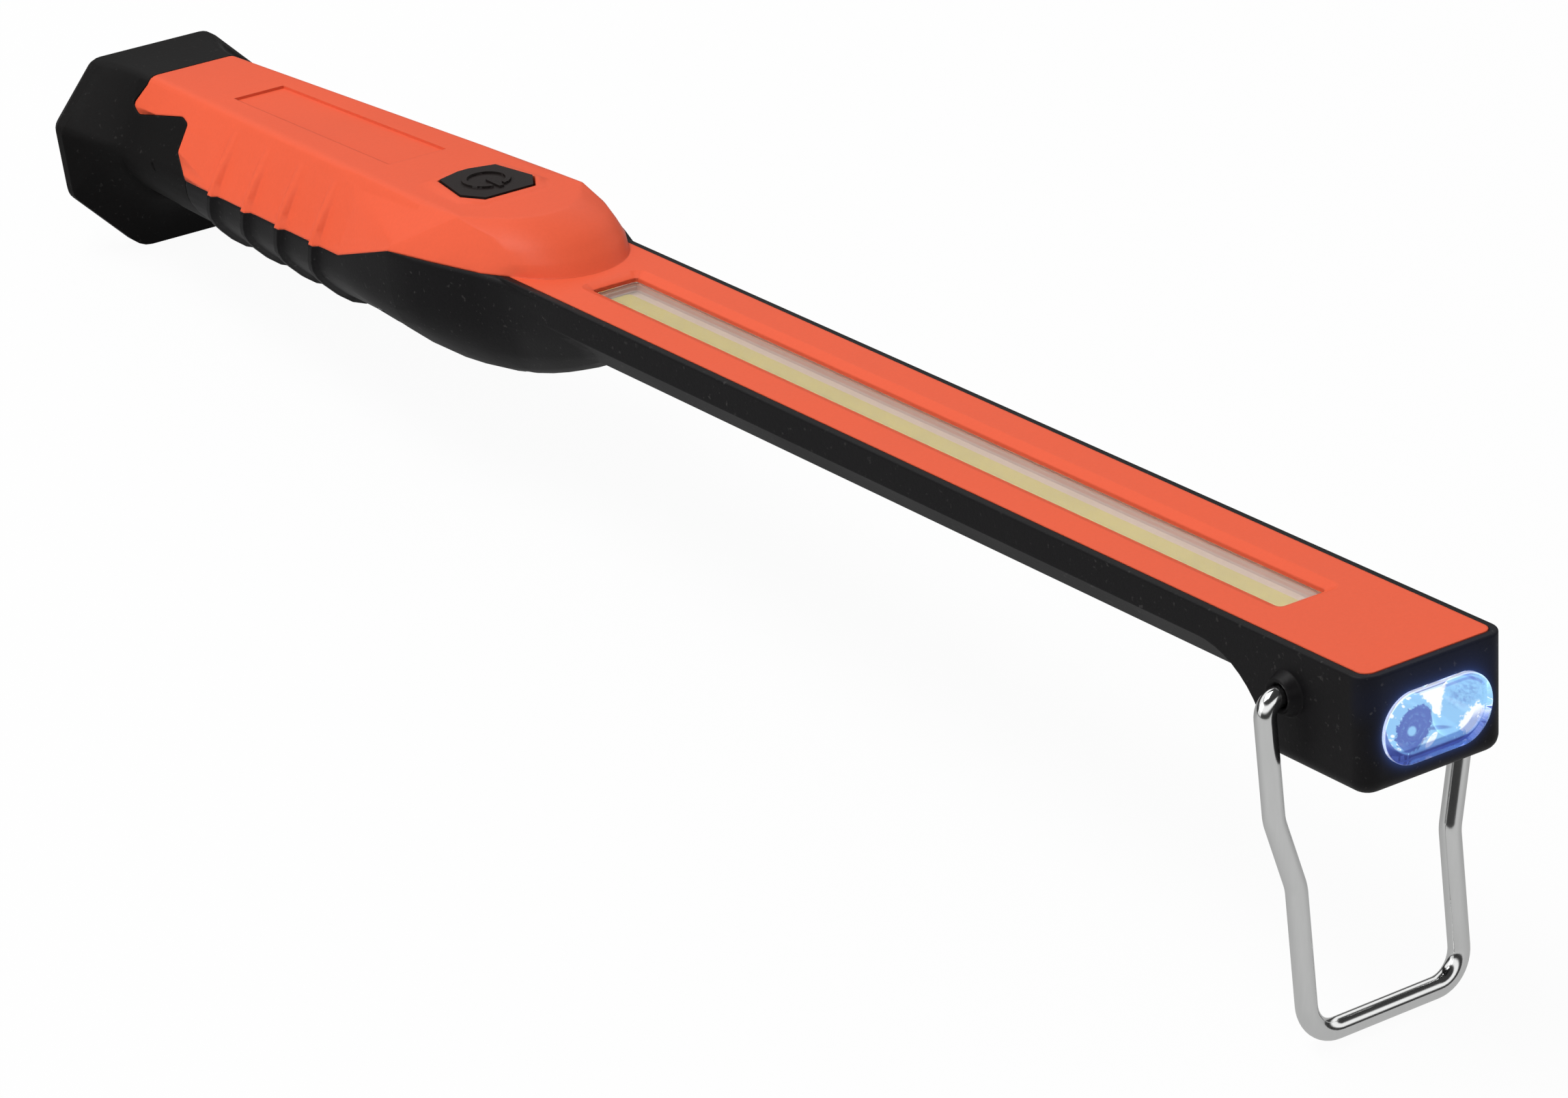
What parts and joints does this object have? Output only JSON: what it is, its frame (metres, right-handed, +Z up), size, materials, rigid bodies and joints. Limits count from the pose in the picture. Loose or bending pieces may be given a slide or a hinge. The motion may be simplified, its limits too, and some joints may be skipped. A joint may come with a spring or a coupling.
{
  "type": "work light",
  "caption": "Slim cordless LED work light with a ribbed orange and black grip, a long strip light, a spot light in its tip, a push button and a folding wire hook.",
  "frame": {"origin": "on the bench under the middle of the lamp, as it stands on the cap's rim and the hook", "axes": "+X from the butt cap to the tip, +Y across, +Z up from the bench"},
  "size_m": [0.3882, 0.0486, 0.0673],
  "materials": {
    "orange_housing": "satin moulded, bright orange",
    "black_housing": "satin moulded, black",
    "black_cap": "satin moulded, black",
    "magnet_nickel": "nickel plated",
    "keeper_steel": "plain pressed steel",
    "button_rubber": "matt soft rubber",
    "switch_white": "plain",
    "switch_black": "plain",
    "strip_clear": "clear moulded",
    "tray_grey": "plain light grey",
    "board_white": "white solder mask",
    "phosphor_yellow": "soft yellow phosphor",
    "spreader_aluminium": "plain rolled",
    "spot_clear": "clear polished",
    "reflector_chrome": "vacuum metallised",
    "led_yellow": "phosphor on a white body",
    "board_green": "green solder mask",
    "hook_chrome": "bright plated wire",
    "cell_wrap": "plain shrink wrap",
    "tab_nickel": "plain nickel strip",
    "lead_red": "wire insulation",
    "parts_black": "plain",
    "socket_steel": "plain plated shell",
    "lead_black": "wire insulation",
    "screw_steel": "dark plated"
  },
  "bodies": {
    "housing": {"top_shell": "orange_housing", "lower_shell": "black_housing", "end_cap": "black_cap", "base_magnet": "magnet_nickel", "magnet_keeper": "keeper_steel", "tact_switch": "switch_black", "strip_lens": "strip_clear", "light_tray": "tray_grey", "strip_board": "board_white", "strip_phosphor": "phosphor_yellow", "heat_spreader": "spreader_aluminium", "spot_lens": "spot_clear", "spot_reflector": "reflector_chrome", "spot_leds": "led_yellow", "spot_board": "board_green", "battery_cell": "cell_wrap", "cell_tabs": "tab_nickel", "battery_leads": "lead_red", "main_board": "board_green", "board_parts": "parts_black", "charge_socket": "socket_steel", "strip_leads": "lead_red", "spot_leads_pair": "lead_black", "case_screws": "screw_steel"},
    "hook": {"hook": "hook_chrome"},
    "button": {"power_button": "button_rubber", "switch_stem": "switch_white"}
  },
  "joints": [
    {"name": "hook_swing", "type": "hinge", "parent": "housing", "child": "hook", "pos_m": [0.17505, 0, 0.05765], "axis": [0, 1, 0], "range_deg": [-165, 86]},
    {"name": "button_press", "type": "slide", "parent": "housing", "child": "button", "axis": [0.0933, 0, -0.9956], "range_m": [0, 0.0006], "stiffness_N_per_m": 2500}
  ]
}
